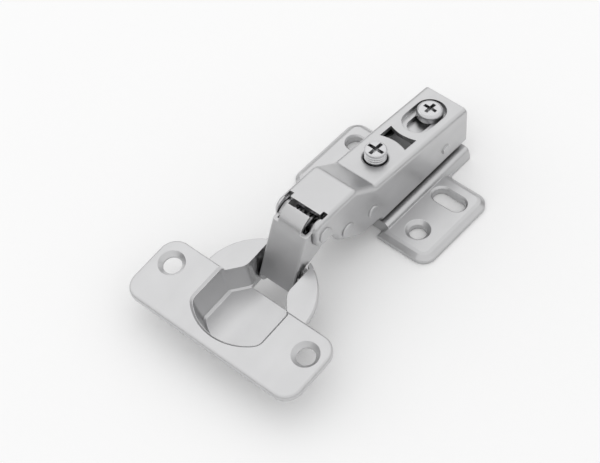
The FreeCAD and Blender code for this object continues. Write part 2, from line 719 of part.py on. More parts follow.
    def stadium(name, lift, grow):
        sketch = make_sketch(body, name, "XY_Plane", lift, deck=True)
        return draw_link(
            sketch,
            ("0", along_deck(pan_front), f"Sizes.recess_r + {grow}"),
            ("0", along_deck(pan_rear), f"Sizes.recess_r + {grow}"),
        )
    pan = stadium("pan_outline", f"-({pan_depth})", "Sizes.pan_wall")
    make_pad(body, "pan", pan, f"{pan_depth} - Sizes.pan_rim_drop")
    make_pocket(body, "recess", stadium("recess_outline", past, "0"), f"Sizes.recess_depth + {past}")
    slot = draw_link(
        make_sketch(body, "fixing_slot_outline", "XY_Plane", past, deck=True),
        ("0", along_deck("Sizes.fixing_y - Sizes.recess_travel"), "Sizes.fixing_slot_r"),
        ("0", along_deck("Sizes.fixing_y + Sizes.fixing_slot_back"), "Sizes.fixing_slot_r"),
    )
    make_pocket(body, "fixing_slot", slot, f"{pan_depth} + 2 * {past}")
    bow_half = "Sizes.bow_length / 2"
    bow_front, bow_rear = "Sizes.bow_y - Sizes.bow_width / 2", "Sizes.bow_y + Sizes.bow_width / 2"
    sag = "((Sizes.bow_width - Sizes.bow_waist) / 2)"
    bow_r = f"({bow_half} * {bow_half} + {sag} * {sag}) / (2 * {sag})"
    bow = draw_outline(make_sketch(body, "bow_outline", "XY_Plane", past, deck=True), [
        (f"-{bow_half}", along_deck(bow_front)),
        (bow_half, along_deck(bow_front), bow_r, "hollow"),
        (bow_half, along_deck(bow_rear)),
        (f"-{bow_half}", along_deck(bow_rear), bow_r, "hollow"),
    ])
    make_pocket(body, "bow_opening", bow, f"{sheet_t} + 2 * {past}")
    seat = draw_circle(
        make_sketch(body, "collar_bore_outline", "XY_Plane", past, deck=True),
        "0", along_deck("Sizes.collar_y"), collar_bore,
    )
    make_pocket(body, "collar_bore", seat, f"{sheet_t} + Sizes.collar_neck + 2 * {past}")
    bore_r = number(collar_bore)
    mouth_z = number(deck_height("Sizes.collar_y", "0"))
    make_round(
        body, "collar_mouth",
        lambda m, w, e: is_circle(e, bore_r) and near(e.Curve.Center.z, mouth_z, fold / 2),
        "Sizes.collar_mouth",
    )
    pins = {"front_pin": "arm_pin_r", "rear_pin": "arm_pin_r", "spring_pin": "spring_pin_r"}
    for name, radius in pins.items():
        sketch = draw_circle(
            make_sketch(body, f"{name}_hole", "YZ_Plane"),
            f"Sizes.{name}_y", f"Sizes.{name}_z", f"Sizes.{radius} + Sizes.running_gap",
        )
        make_pocket(body, f"{name}_bore", sketch, f"Sizes.arm_width + {past}", both=True)
    return body


def riveted_pin(name, y, z, shank, head):
    """A pin across the arm whose two ends are spread into low heads on the arm's sides."""
    body = make_body(name)
    sketch = draw_circle(make_sketch(body, f"{name}_shank", "YZ_Plane"), y, z, shank)
    make_pad(body, f"{name}_rod", sketch, "Sizes.arm_width", both=True)
    for side, back in (("right", False), ("left", True)):
        lift = "-Sizes.arm_width / 2" if back else "Sizes.arm_width / 2"
        sketch = make_sketch(body, f"{name}_{side}_head_outline", "YZ_Plane", lift)
        draw_circle(sketch, y, z, head)
        make_pad(body, f"{name}_{side}_head", sketch, "Sizes.pin_head_rise", back=back)
    head_r = number(head)
    out = number("Sizes.arm_width / 2 + Sizes.pin_head_rise")
    make_round(
        body, f"{name}_domes",
        lambda m, w, e: is_circle(e, head_r) and near(abs(m.x), out),
        "Sizes.pin_dome",
    )
    return body


def row_y(y, z):
    """A point of the cup's frame, along the row's Y."""
    return f"(Sizes.cup_y + ({y}) * cos(Sizes.cup_tilt) - ({z}) * sin(Sizes.cup_tilt))"


def row_z(y, z):
    return f"(Sizes.cup_z + ({y}) * sin(Sizes.cup_tilt) + ({z}) * cos(Sizes.cup_tilt))"


FRONT_CUP_Y = row_y("Sizes.front_cup_pin_y", "Sizes.front_cup_pin_z")
FRONT_CUP_Z = row_z("Sizes.front_cup_pin_y", "Sizes.front_cup_pin_z")
REAR_CUP_Y = row_y("Sizes.rear_cup_pin_y", "Sizes.rear_cup_pin_z")
REAR_CUP_Z = row_z("Sizes.rear_cup_pin_y", "Sizes.rear_cup_pin_z")
LINK_Y = f"(Sizes.front_pin_y - {FRONT_CUP_Y})"
LINK_Z = f"(Sizes.front_pin_z - {FRONT_CUP_Z})"
LINK_SPAN = f"sqrt({LINK_Y} ^ 2 + {LINK_Z} ^ 2)"
LINK_LEAN = (
    f"((90 deg - atan({LINK_Z} / {LINK_Y})"
    f" - asin((Sizes.link_reach - Sizes.link_foot_r) / {LINK_SPAN})) / 1 deg)"
)


def around(y, z, radius, angle):
    return (f"{y} + ({radius}) * cos({angle})", f"{z} + ({radius}) * sin({angle})")


def bore(body, name, y, z, radius, width):
    sketch = draw_circle(make_sketch(body, f"{name}_outline", "YZ_Plane"), y, z, radius)
    make_pocket(body, name, sketch, width, both=True)


def outer_link():
    """A channel whose web faces the front, with a narrow tab rolled over the front pin."""
    body = make_body("outer_link")
    py, pz = "Sizes.front_pin_y", "Sizes.front_pin_z"
    reach, foot, s = "Sizes.link_reach", "Sizes.link_foot_r", "Sizes.link_sheet"
    eye, past = "Sizes.link_eye_r", "Sizes.cut_past"
    web_angle = f"(180 - {LINK_LEAN})"
    web_top = around(py, pz, reach, web_angle)
    web_end = around(FRONT_CUP_Y, FRONT_CUP_Z, foot, web_angle)
    web_length = f"({web_top[1]} - ({web_end[1]})) / cos({LINK_LEAN})"

    def web_point(inward, down):
        return (
            f"{web_top[0]} + ({inward}) * cos({LINK_LEAN}) - ({down}) * sin({LINK_LEAN})",
            f"{web_top[1]} - ({inward}) * sin({LINK_LEAN}) - ({down}) * cos({LINK_LEAN})",
        )
    neck = f"({web_angle} - acos(({foot} - {s}) / {foot}) / 1 deg)"
    ear_start = f"(180 - asin(({web_top[1]} - {pz}) / {eye}) / 1 deg)"
    outline = draw_outline(make_sketch(body, "link_side", "YZ_Plane"), [
        web_end,
        around(FRONT_CUP_Y, FRONT_CUP_Z, foot, "270") + (foot,),
        around(FRONT_CUP_Y, FRONT_CUP_Z, foot, "0") + (foot,),
        around(FRONT_CUP_Y, FRONT_CUP_Z, foot, neck) + (foot,),
        web_point(s, f"{web_length} - Sizes.link_neck"),
        ("Sizes.link_heel_y", "Sizes.link_heel_z"),
        ("Sizes.link_heel_y + Sizes.link_heel_run", "Sizes.link_heel_z + Sizes.link_heel_rise"),
        around(py, pz, eye, "-Sizes.link_ear_low_angle"),
        around(py, pz, eye, "Sizes.link_ear_top_angle") + (eye,),
        around(py, pz, eye, ear_start) + (eye,),
        web_top,
    ])
    make_pad(body, "link_block", outline, f"{LINK_HALF} * 2", both=True)
    rise, run = number(f"cos({LINK_LEAN})"), number(f"sin({LINK_LEAN})")
    half, least = number(LINK_HALF), number("Sizes.link_neck")
    make_round(
        body, "web_bends",
        lambda m, w, e: (
            near(abs(m.x), half) and near(abs(w.y), run) and near(abs(w.z), rise) and e.Length > least
        ),
        "Sizes.link_bend_r",
    )
    hollow = draw_outline(make_sketch(body, "link_inside", "YZ_Plane"), [
        web_point(s, web_length),
        web_point(f"-{past}", web_length),
        web_point(f"-{past}", f"{web_length} + {reach}"),
        ("Sizes.rear_pin_y", "0"),
        ("Sizes.rear_pin_y", f"{NOSE_Z} + {reach}"),
        web_point(s, f"-{reach}"),
    ][::-1])
    make_pocket(body, "link_channel", hollow, f"2 * ({LINK_HALF} - {s})", both=True)
    inner = f"({reach} - {s})"
    tab = draw_outline(make_sketch(body, "link_tab_side", "YZ_Plane"), [
        web_top + (reach,),
        around(py, pz, inner, web_angle),
        around(py, pz, inner, "Sizes.link_tab_angle") + (inner, "hollow"),
        around(py, pz, reach, "Sizes.link_tab_angle"),
    ])
    make_pad(body, "link_tab", tab, "Sizes.link_tab_width", both=True)
    gap = "Sizes.running_gap"
    bore(body, "link_pin_bore", py, pz, f"Sizes.arm_pin_r + {gap}", "Sizes.arm_width")
    bore(
        body, "link_foot_bore", FRONT_CUP_Y, FRONT_CUP_Z, f"Sizes.cup_pin_r + {gap}", "Sizes.arm_width",
    )
    return body


INNER_TILT = (
    f"(atan((Sizes.rear_pin_z - {REAR_CUP_Z}) / (Sizes.rear_pin_y - {REAR_CUP_Y})) / 1 deg)"
)
INNER_SPAN = f"((Sizes.rear_pin_y - {REAR_CUP_Y}) / cos({INNER_TILT}))"


def inner_point(along, up):
    """A point of the inner link, measured from its rear pin along the link and square to it."""
    return (
        f"Sizes.rear_pin_y - ({along}) * cos({INNER_TILT}) - ({up}) * sin({INNER_TILT})",
        f"Sizes.rear_pin_z - ({along}) * sin({INNER_TILT}) + ({up}) * cos({INNER_TILT})",
    )


def inner_link():
    """The rear link: it rises over the door's edge and hooks round the rear leg of the cup pin."""
    body = make_body("inner_link")
    width = f"2 * {INNER_HALF}"
    eye_r, s = "Sizes.inner_eye_r", "Sizes.inner_link_sheet"

    def before_leg(name, up):
        return inner_point(f"{INNER_SPAN} - Sizes.{name}", up)
    back = before_leg("inner_slot_back", "-Sizes.inner_slot_drop")
    front = before_leg("inner_slot_front", "-Sizes.inner_slot_drop")
    toe = draw_link(
        make_sketch(body, "inner_toe_side", "YZ_Plane"),
        back + ("Sizes.inner_toe_r",), front + ("Sizes.inner_toe_r",),
    )
    make_pad(body, "inner_toe", toe, width, both=True)
    eye = draw_circle(
        make_sketch(body, "inner_eye_side", "YZ_Plane"), "Sizes.rear_pin_y", "Sizes.rear_pin_z", eye_r
    )
    make_pad(body, "inner_eye", eye, width, both=True)
    under = [
        inner_point("0", f"-{eye_r}"), before_leg("elbow_start", "Sizes.elbow_start_up"),
        before_leg("elbow_end", "Sizes.elbow_end_up"), before_leg("elbow_neck", "Sizes.elbow_neck_up"),
    ]
    over = [
        inner_point(f"{INNER_SPAN} + Sizes.elbow_tip", "Sizes.elbow_tip_up"),
        before_leg("crown_end", "Sizes.crown_end_up"), before_leg("crown_start", "Sizes.crown_start_up"),
        inner_point("0", eye_r),
    ]
    elbow = draw_outline(make_sketch(body, "inner_elbow_side", "YZ_Plane"), (under + over)[::-1])
    make_pad(body, "inner_elbow", elbow, width, both=True)
    clear = f"(2 * {eye_r})"
    start, end = "Sizes.inner_web_start", f"{INNER_SPAN} - Sizes.elbow_end"
    under_slope = f"(Sizes.elbow_start_up + {eye_r}) / ({INNER_SPAN} - Sizes.elbow_start)"
    start_floor = f"{s} - {eye_r} + ({start}) * {under_slope}"
    hollow = draw_outline(make_sketch(body, "inner_inside", "YZ_Plane"), [
        inner_point(f"-{clear}", f"-{clear}"), inner_point(f"-{clear}", clear),
        inner_point(f"{INNER_SPAN} + {clear}", clear), inner_point(f"{INNER_SPAN} + {clear}", f"-{clear}"),
        inner_point(end, f"-{clear}"), inner_point(end, f"Sizes.elbow_end_up + {s}"),
        before_leg("elbow_start", f"Sizes.elbow_start_up + {s}"),
        inner_point(start, start_floor), inner_point(start, f"-{clear}"),
    ])
    make_pocket(body, "inner_channel", hollow, f"{width} - 2 * {s}", both=True)
    bore(
        body, "inner_pin_bore", "Sizes.rear_pin_y", "Sizes.rear_pin_z",
        "Sizes.arm_pin_r + Sizes.running_gap", "Sizes.arm_width",
    )
    slot = draw_link(
        make_sketch(body, "inner_slot_outline", "YZ_Plane"),
        back + ("Sizes.inner_slot_r",), front + ("Sizes.inner_slot_r",),
    )
    make_pocket(body, "inner_slot", slot, "Sizes.arm_width", both=True)
    return body


def place_in_cup_frame(thing):
    thing.Placement = Placement(Vector(0, 0, 0), Rotation(Vector(1, 0, 0), 1))
    bind(thing, "Placement.Base.y", "Sizes.cup_y")
    bind(thing, "Placement.Base.z", "Sizes.cup_z")
    bind(thing, "Placement.Rotation.Angle", "Sizes.cup_tilt")


def place_on_deck(thing, y):
    thing.Placement = Placement(Vector(0, 0, 0), Rotation(Vector(-1, 0, 0), 1))
    bind(thing, "Placement.Base.y", y)
    bind(thing, "Placement.Base.z", deck_height(y, "0"))
    bind(thing, "Placement.Rotation.Angle", "Sizes.arm_fall")


def pocket_corners(grow):
    """The outline of the cup's recess: wide in front, drawn in by an S-curve to the links' slot."""
    wide, slot = f"(Sizes.pocket_half + {grow})", f"({SLOT_HALF} + {grow})"
    arc = f"(Sizes.cup_disc_r - Sizes.cup_sheet + {grow})"
    corner = f"(Sizes.pocket_corner_r + {grow})"
    shoulder, bend = f"(Sizes.pocket_shoulder_r + {grow})", f"(Sizes.pocket_bend_r - {grow})"
    shoulder_y, slot_y = "Sizes.pocket_shoulder_y", "Sizes.pocket_slot_y"
    corner_y = f"(-sqrt(({arc} - {corner}) ^ 2 - ({wide} - {corner}) ^ 2))"
    share = f"{arc} / ({arc} - {corner})"
    slant = f"atan(({slot_y} - {shoulder_y}) / ({wide} - {slot}))"
    half_turn = f"tan((90 deg - {slant}) / 2)"
    before, after = f"{shoulder} * {half_turn}", f"{bend} * {half_turn}"
    right = [
        (f"({wide} - {corner}) * {share}", f"{corner_y} * {share}", arc),
        (wide, corner_y, corner),
        (wide, f"{shoulder_y} - {before}"),
        (f"{wide} - {before} * cos({slant})", f"{shoulder_y} + {before} * sin({slant})", shoulder),
        (f"{slot} + {after} * cos({slant})", f"{slot_y} - {after} * sin({slant})"),
        (slot, f"{slot_y} + {after}", bend, "hollow"),
        (slot, f"sqrt({arc} ^ 2 - {slot} ^ 2)"),
    ]
    return right + mirrored(right)


def hinge_cup():
    """The pressed cup: a long flange with its rim turned down, a 35 mm disc and the recess."""
    body = make_body("hinge_cup")
    half, corner = FLANGE_HALF, "Sizes.flange_corner_r"
    front, rear = "Sizes.flange_front_y", "Sizes.flange_rear_y"
    s, height, past = "Sizes.cup_sheet", "Sizes.flange_height", "Sizes.cut_past"
    right = [
        (f"{half} - {corner}", front), (half, f"{front} + {corner}", corner),
        (half, f"{rear} - {corner}"), (f"{half} - {corner}", rear, corner),
    ]
    outline = draw_outline(make_sketch(body, "flange_outline", "XY_Plane"), right + mirrored(right))
    make_pad(body, "flange", outline, height, back=True)
    make_round(body, "flange_rim", lambda m, w, e: near(m.z, 0), "Sizes.flange_round")
    low = f"-{height}"
    inner_corner = f"({corner} - {s})"
    start_x = f"Sizes.cup_disc_r + {past}"
    inside = [
        (start_x, f"{front} + {s}"), (f"{half} - {corner}", f"{front} + {s}"),
        (f"{half} - {s}", f"{front} + {corner}", inner_corner), (f"{half} - {s}", f"{rear} - {corner}"),
        (f"{half} - {corner}", f"{rear} - {s}", inner_corner), (start_x, f"{rear} - {s}"),
    ]
    for name, corners in (("right", inside), ("left", mirrored(inside))):
        sketch = draw_outline(make_sketch(body, f"flange_{name}_inside", "XY_Plane", low), corners)
        make_pocket(body, f"flange_{name}_hollow", sketch, f"{height} - {s}", back=True)
    screw_x = "Sizes.cup_screw_spacing / 2"
    boss = "Sizes.cup_screw_r + Sizes.cup_screw_sink + Sizes.flange_boss_wall"
    for side, name in (("", "right"), ("-", "left")):
        sketch = make_sketch(body, f"flange_{name}_boss_outline", "XY_Plane", low)
        draw_circle(sketch, f"{side}{screw_x}", "Sizes.cup_screw_y", boss)
        make_pad(body, f"flange_{name}_boss", sketch, f"{height} - {s}")
    disc = make_sketch(body, "disc_outline", "XY_Plane", "-Sizes.disc_step - Sizes.disc_bevel")
    draw_circle(disc, "0", "0", "Sizes.cup_disc_r")
    make_pad(body, "disc", disc, "Sizes.disc_rim - Sizes.disc_bevel", back=True)
    edge = make_sketch(body, "disc_edge_outline", "XY_Plane", "-Sizes.disc_step - Sizes.disc_bevel")
    draw_circle(edge, "0", "0", "Sizes.cup_disc_r")
    make_pad(body, "disc_edge", edge, "Sizes.disc_bevel", taper="-Sizes.cove_angle")
    hollow = make_sketch(body, "disc_inside", "XY_Plane", "-Sizes.disc_step - Sizes.disc_rim")
    draw_circle(hollow, "0", "0", f"Sizes.cup_disc_r - {s}")
    make_pocket(body, "disc_hollow", hollow, f"Sizes.disc_rim - {s}", back=True)
    draft = "-atan(Sizes.pocket_draft / Sizes.pocket_depth)"
    shell = make_sketch(body, "shell_outline", "XY_Plane", "-Sizes.disc_step")
    draw_outline(shell, pocket_corners(s))
    make_pad(
        body, "shell", shell, f"Sizes.pocket_depth + {s} - Sizes.disc_step", back=True, taper=draft,
    )
    cove, lip = "Sizes.pocket_cove", "Sizes.pocket_lip"
    wall_depth = f"(Sizes.pocket_depth - {cove})"
    drawn_in = f"(-Sizes.pocket_draft * {wall_depth} / Sizes.pocket_depth)"
    recess = draw_outline(make_sketch(body, "recess_outline", "XY_Plane"), pocket_corners("0"))
    make_pocket(body, "recess", recess, wall_depth, taper=draft)
    foot = make_sketch(body, "recess_foot_outline", "XY_Plane", f"-{wall_depth}")
    draw_outline(foot, pocket_corners(drawn_in))
    make_pocket(body, "recess_foot", foot, cove, taper="-Sizes.cove_angle")
    mouth = draw_outline(make_sketch(body, "recess_mouth_outline", "XY_Plane"), pocket_corners(lip))
    make_pocket(body, "recess_mouth", mouth, lip, taper="-Sizes.cove_angle")
    window = [
        (GATE_HALF, "Sizes.floor_edge_y"), (GATE_HALF, "Sizes.floor_end_y"),
    ]
    opening = make_sketch(body, "floor_window", "XY_Plane", f"-Sizes.pocket_depth - {s} - {past}")
    draw_outline(opening, window + mirrored(window))
    make_pocket(body, "floor_opening", opening, f"{s} + 2 * {past}", back=True)
    gate = [(GATE_HALF, "Sizes.slot_gate_z"), (GATE_HALF, past)]
    opening = make_sketch(body, "slot_gate_outline", "XZ_Plane", f"-Sizes.cup_disc_r + 3 * {s}")
    draw_outline(opening, gate + mirrored(gate))
    make_pocket(body, "slot_gate", opening, f"{s} * 4")
    screws = make_sketch(body, "flange_hole_outlines", "XY_Plane")
    for side in ("", "-"):
        draw_circle(screws, f"{side}{screw_x}", "Sizes.cup_screw_y", "Sizes.cup_screw_r")
    make_pocket(body, "flange_holes", screws, f"{height} + {past}")
    hole_r = number("Sizes.cup_screw_r")
    make_round(
        body, "flange_sinks",
        lambda m, w, e: near(m.z, 0) and is_circle(e, hole_r),
        "Sizes.cup_screw_sink", kind="PartDesign::Chamfer",
    )
    pins = make_sketch(body, "cup_pin_holes", "YZ_Plane")
    pin_r = "Sizes.cup_pin_r + Sizes.running_gap"
    draw_circle(pins, "Sizes.front_cup_pin_y", "Sizes.front_cup_pin_z", pin_r)
    draw_circle(pins, "Sizes.rear_cup_pin_y", "Sizes.rear_cup_pin_z", pin_r)
    make_pocket(body, "cup_pin_bores", pins, f"({SLOT_HALF} + {s} + {past}) * 2", both=True)
    place_in_cup_frame(body)
    return body


def cup_pin():
    """A wire staple: one leg for each link, joined outside the cup's right slot wall."""
    body = make_body("cup_pin")
    r, reach = "Sizes.cup_pin_r", f"({SLOT_HALF} + Sizes.cup_sheet + Sizes.staple_gap)"
    legs = make_sketch(body, "leg_outlines", "YZ_Plane", f"-{reach}")
    front = ("Sizes.front_cup_pin_y", "Sizes.front_cup_pin_z", r)
    rear = ("Sizes.rear_cup_pin_y", "Sizes.rear_cup_pin_z", r)
    draw_circle(legs, *front)
    draw_circle(legs, *rear)
    legs_pad = body.newObject("PartDesign::Pad", "legs")
    legs_pad.Profile = legs
    legs_pad.AllowMultiFace = True
    bind(legs_pad, "Length", f"2 * {reach} + {r}")
    bridge = make_sketch(body, "bridge_outline", "YZ_Plane", reach)
    draw_link(bridge, front, rear)
    make_pad(body, "bridge", bridge, f"2 * {r}")
    x_out = number(f"{reach} + 2 * {r}")
    make_round(body, "bridge_round", lambda m, w, e: near(m.x, x_out), "Sizes.staple_round")
    place_in_cup_frame(body)
    return body


def arm_front_pin():
    place = "Sizes.front_pin_y", "Sizes.front_pin_z"
    return riveted_pin("arm_front_pin", *place, "Sizes.arm_pin_r", "Sizes.arm_pin_head_r")


def arm_rear_pin():
    place = "Sizes.rear_pin_y", "Sizes.rear_pin_z"
    return riveted_pin("arm_rear_pin", *place, "Sizes.arm_pin_r", "Sizes.arm_pin_head_r")


def spring_pin():
    place = "Sizes.spring_pin_y", "Sizes.spring_pin_z"
    return riveted_pin("spring_pin", *place, "Sizes.spring_pin_r", "Sizes.spring_pin_head_r")


def place_at(thing, place):
    for axis, text in zip("xyz", place):
        bind(thing, f"Placement.Base.{axis}", text)


def add_rod(name, start, tilt, length):
    """A length of spring wire that leaves its start square to X, turned tilt degrees below +Y."""
    rod = doc.addObject("Part::Cylinder", name)
    rod.Placement = Placement(Vector(0, 0, 0), Rotation(Vector(-1, 0, 0), 1))
    bind(rod, "Radius", "Sizes.spring_wire_r")
    bind(rod, "Height", length)
    place_at(rod, start)
    bind(rod, "Placement.Rotation.Angle", f"90 + {tilt}")
    return rod


def closing_spring():
    """A double torsion spring round the front pin: two coils, two long legs and a middle loop."""
    y0, z0, r = "Sizes.front_pin_y", "Sizes.front_pin_z", "Sizes.spring_coil_r"
    leg, loop = "Sizes.spring_leg_tilt", "Sizes.spring_loop_tilt"
    turns = f"(Sizes.spring_full_turns + (180 - {loop} + {leg}) / 360)"
    inner_x = "Sizes.spring_inner_x"
    outer_x = f"{inner_x} + {turns} * Sizes.spring_pitch"
    path = doc.addObject("Part::Helix", "coil_path")
    path.LocalCoord = "Left-handed"
    path.Placement = Placement(Vector(0, 0, 0), Rotation(Vector(0, 1, 0), 90))
    bind(path, "Pitch", "Sizes.spring_pitch")
    bind(path, "Height", f"{turns} * Sizes.spring_pitch")
    bind(path, "Radius", r)
    wire = doc.addObject("Part::Circle", "wire_outline")
    bind(wire, "Radius", "Sizes.spring_wire_r")
    wire.Placement = Placement(Vector(0, 0, 0), Rotation(Vector(1, 0, 0), 90))
    bind(wire, "Placement.Base.z", f"-{r}")
    coil = doc.addObject("Part::Sweep", "spring_coil")
    coil.Sections = [wire]
    coil.Spine = (path, [])
    coil.Solid = True
    coil.Frenet = True
    coil.Placement = Placement(Vector(0, 0, 0), Rotation(Vector(-1, 0, 0), 1))
    place_at(coil, (inner_x, y0, z0))
    bind(coil, "Placement.Rotation.Angle", loop)
    leg_start = (outer_x,) + around(y0, z0, r, f"90 - {leg}")
    loop_start = (inner_x,) + around(y0, z0, r, f"270 - {loop}")
    loop_end = (
        inner_x,
        f"{loop_start[1]} + Sizes.spring_loop * cos({loop})",
        f"{loop_start[2]} - Sizes.spring_loop * sin({loop})",
    )
    long_leg = add_rod("spring_leg", leg_start, leg, "Sizes.spring_leg")
    short_leg = add_rod("spring_loop_leg", loop_start, loop, "Sizes.spring_loop")
    knee = doc.addObject("Part::Sphere", "spring_loop_corner")
    bind(knee, "Radius", "Sizes.spring_wire_r")
    place_at(knee, loop_end)
    bar = doc.addObject("Part::Cylinder", "spring_loop_bar")
    bar.Placement = Placement(Vector(0, 0, 0), Rotation(Vector(0, 1, 0), 90))
    bind(bar, "Radius", "Sizes.spring_wire_r")
    bind(bar, "Height", inner_x)
    place_at(bar, ("0",) + loop_end[1:])
    half = doc.addObject("Part::MultiFuse", "spring_right_half")
    half.Shapes = [coil, long_leg, short_leg, knee, bar]
    other = doc.addObject("Part::Mirroring", "spring_left_half")
    other.Source = half
    other.Normal = Vector(1, 0, 0)
    other.Base = Vector(0, 0, 0)
    spring = doc.addObject("Part::MultiFuse", "closing_spring")
    spring.Shapes = [half, other]
    spring.Label = "closing_spring"
    doc.recompute()
    return spring


def turned_screw(name, corners, top, y, edge_r, arm):
    """A screw turned about its own axis, with a cross recess in its head."""
    body = make_body(name)
    profile = draw_outline(make_sketch(body, f"{name}_profile", "XZ_Plane"), corners)
    turn = body.newObject("PartDesign::Revolution", f"{name}_turned")
    turn.Profile = profile
    turn.ReferenceAxis = (profile, ["V_Axis"])
    turn.Angle = 360
    doc.recompute()
    check_feature(turn)
    z_top = number(top)
    make_round(body, f"{name}_edge", lambda m, w, e: near(m.z, z_top), edge_r)
    half = "Sizes.cross_width / 2"
    corners = [
        (arm, f"-{half}"), (arm, half), (half, half), (half, arm), (f"-{half}", arm),
        (f"-{half}", half), (f"-{arm}", half), (f"-{arm}", f"-{half}"), (f"-{half}", f"-{half}"),
        (f"-{half}", f"-{arm}"), (half, f"-{arm}"), (half, f"-{half}"),
    ]
    sketch = draw_outline(make_sketch(body, f"{name}_cross_outline", "XY_Plane", top), corners)
    make_pocket(body, f"{name}_cross", sketch, "Sizes.cross_depth", taper="-Sizes.cross_draft")
    place_on_deck(body, y)
    return body


def adjusting_screw():
    """The overlay screw: its foot hangs under the saddle and its threaded head stands out of the arm."""
    top = "Sizes.adjusting_rise"
    foot_top = f"-({SADDLE_DROP}) - Sizes.plate_sheet - Sizes.adjusting_foot_gap"
    head_low = f"-({SADDLE_DROP}) + Sizes.adjusting_head_gap"
    foot_low = f"{foot_top} - Sizes.adjusting_foot"
    neck, head = "Sizes.adjusting_neck_r", "Sizes.adjusting_r"
    foot = f"({SADDLE_HALF} - Sizes.plate_sheet - Sizes.foot_side_gap)"
    root, pitch = f"({head} - Sizes.thread_depth)", "Sizes.thread_pitch"
    edge = "Sizes.adjusting_round"
    grooves = []
    for turn in (3, 2, 1):
        low = f"{top} - {edge} - {turn} * {pitch}"
        grooves += [
            (head, low), (root, f"{low} + {pitch} / 4"), (root, f"{low} + {pitch} / 2"),
            (head, f"{low} + 3 * {pitch} / 4"),
        ]
    return turned_screw("adjusting_screw", [
        ("0", foot_low), (foot, foot_low), (foot, foot_top), (neck, foot_top), (neck, head_low),
        (head, head_low), *grooves, (head, top), ("0", top),
    ], top, "Sizes.collar_y", edge, "Sizes.adjusting_cross_reach")


def fixing_screw():
    """The fixing screw: a pan head in the arm's recess and a shank in the saddle's thread."""
    seat = "-Sizes.recess_depth + Sizes.seat_gap"
    top = f"{seat} + Sizes.fixing_head"
    low = f"-({SADDLE_DROP}) - Sizes.plate_sheet - Sizes.saddle_neck_drop - Sizes.fixing_past"
    head, shank, tip = "Sizes.fixing_head_r", "Sizes.fixing_r", "Sizes.fixing_tip"
    return turned_screw("fixing_screw", [
        ("0", low), (f"{shank} - {tip}", low), (shank, f"{low} + {tip}"), (shank, seat),
        (head, seat), (head, top), ("0", top),
    ], top, "Sizes.fixing_y", "Sizes.fixing_round", "Sizes.cross_reach")


BUILDERS = [
    mounting_plate, hinge_arm, outer_link, inner_link, hinge_cup, arm_front_pin, arm_rear_pin,
    spring_pin, cup_pin, closing_spring, adjusting_screw, fixing_screw,
]


def check_objects():
    for thing in doc.Objects:
        if "Invalid" in thing.State or "Error" in thing.State:
            raise RuntimeError(f"{thing.Label} is in error: {thing.State}")
        if thing.isDerivedFrom("Sketcher::SketchObject") or thing.isDerivedFrom("App::OriginFeature"):
            continue
        if hasattr(thing, "Shape") and (thing.Shape.isNull() or not thing.Shape.isValid()):
            raise RuntimeError(f"{thing.Label} has no valid shape")


nodes = [build() for build in BUILDERS]
doc.recompute()
check_objects()
os.makedirs("parts", exist_ok=True)
for node in nodes:
    node.Shape.exportStep(os.path.join("parts", f"{node.Label}.step"))
    print(node.Label, len(node.Shape.Solids), round(node.Shape.Volume, 1), node.Shape.BoundBox)
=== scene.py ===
import math
import bpy
from mathutils import Matrix, Vector

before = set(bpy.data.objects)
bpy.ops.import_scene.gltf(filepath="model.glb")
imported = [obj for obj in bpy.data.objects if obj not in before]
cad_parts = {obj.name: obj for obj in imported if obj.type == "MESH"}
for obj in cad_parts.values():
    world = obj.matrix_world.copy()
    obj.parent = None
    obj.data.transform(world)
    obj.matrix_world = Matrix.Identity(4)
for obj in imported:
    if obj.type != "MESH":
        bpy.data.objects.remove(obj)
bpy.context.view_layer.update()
MM = 0.001


# Finishes: satin nickel on pressed steel, brighter zinc on the screws, dark spring wire.
# Lengths are in metres, and the scale of a noise is in waves to the metre.

EDGE_RADIUS = 0.25 * MM
EDGE_STARTS, EDGE_FULL = 0.995, 0.86
# Handling wear and painted highlight on the edges: how patchy it is, its least share, and the
# pale grey it goes to.
WEAR_AND_HIGHLIGHT_PATCHES, WEAR_AND_HIGHLIGHT_LEAST = 700.0, 0.35
WEAR_AND_HIGHLIGHT_GREY = (0.86, 0.86, 0.865)
PLATING_CLOUDS = 90.0
# Painted shade: the grey darkens toward near black within this reach of nearby walls, in crevices
# and corners.
PAINTED_SHADE_REACH = 3 * MM
PAINTED_SHADE_SHARE = 0.2
PAINTED_SHADE_CLOSED, PAINTED_SHADE_OPEN = 0.12, 0.5
PAINTED_SHADE_LEAST = 0.10
ROLLING_MARKS, ROLLING_STRETCH = 260.0, (1.0, 0.12, 1.0)
GRAIN, GRAIN_HEIGHT, GRAIN_STRENGTH = 2600.0, 0.1 * MM, 0.06
NOISE_LOW, NOISE_HIGH = 0.3, 0.7


def new_material(name, colour, roughness, metallic=1.0):
    material = bpy.data.materials.new(name)
    material.use_nodes = True
    shader = material.node_tree.nodes["Principled BSDF"]
    shader.inputs["Base Color"].default_value = (*colour, 1)
    shader.inputs["Roughness"].default_value = roughness
    shader.inputs["Metallic"].default_value = metallic
    return material, material.node_tree, shader


def add_node(tree, kind, **settings):
    node = tree.nodes.new(kind)
    for key, value in settings.items():
        if key in node.inputs:
            node.inputs[key].default_value = value
        else:
            setattr(node, key, value)
    return node


def noise(tree, scale, detail=3.0, stretch=(1, 1, 1)):
    place = add_node(tree, "ShaderNodeTexCoord")
    mapping = add_node(tree, "ShaderNodeMapping", Scale=stretch)
    grain = add_node(tree, "ShaderNodeTexNoise", Scale=scale, Detail=detail)
    tree.links.new(place.outputs["Object"], mapping.inputs["Vector"])
    tree.links.new(mapping.outputs["Vector"], grain.inputs["Vector"])
    return grain.outputs["Fac"]


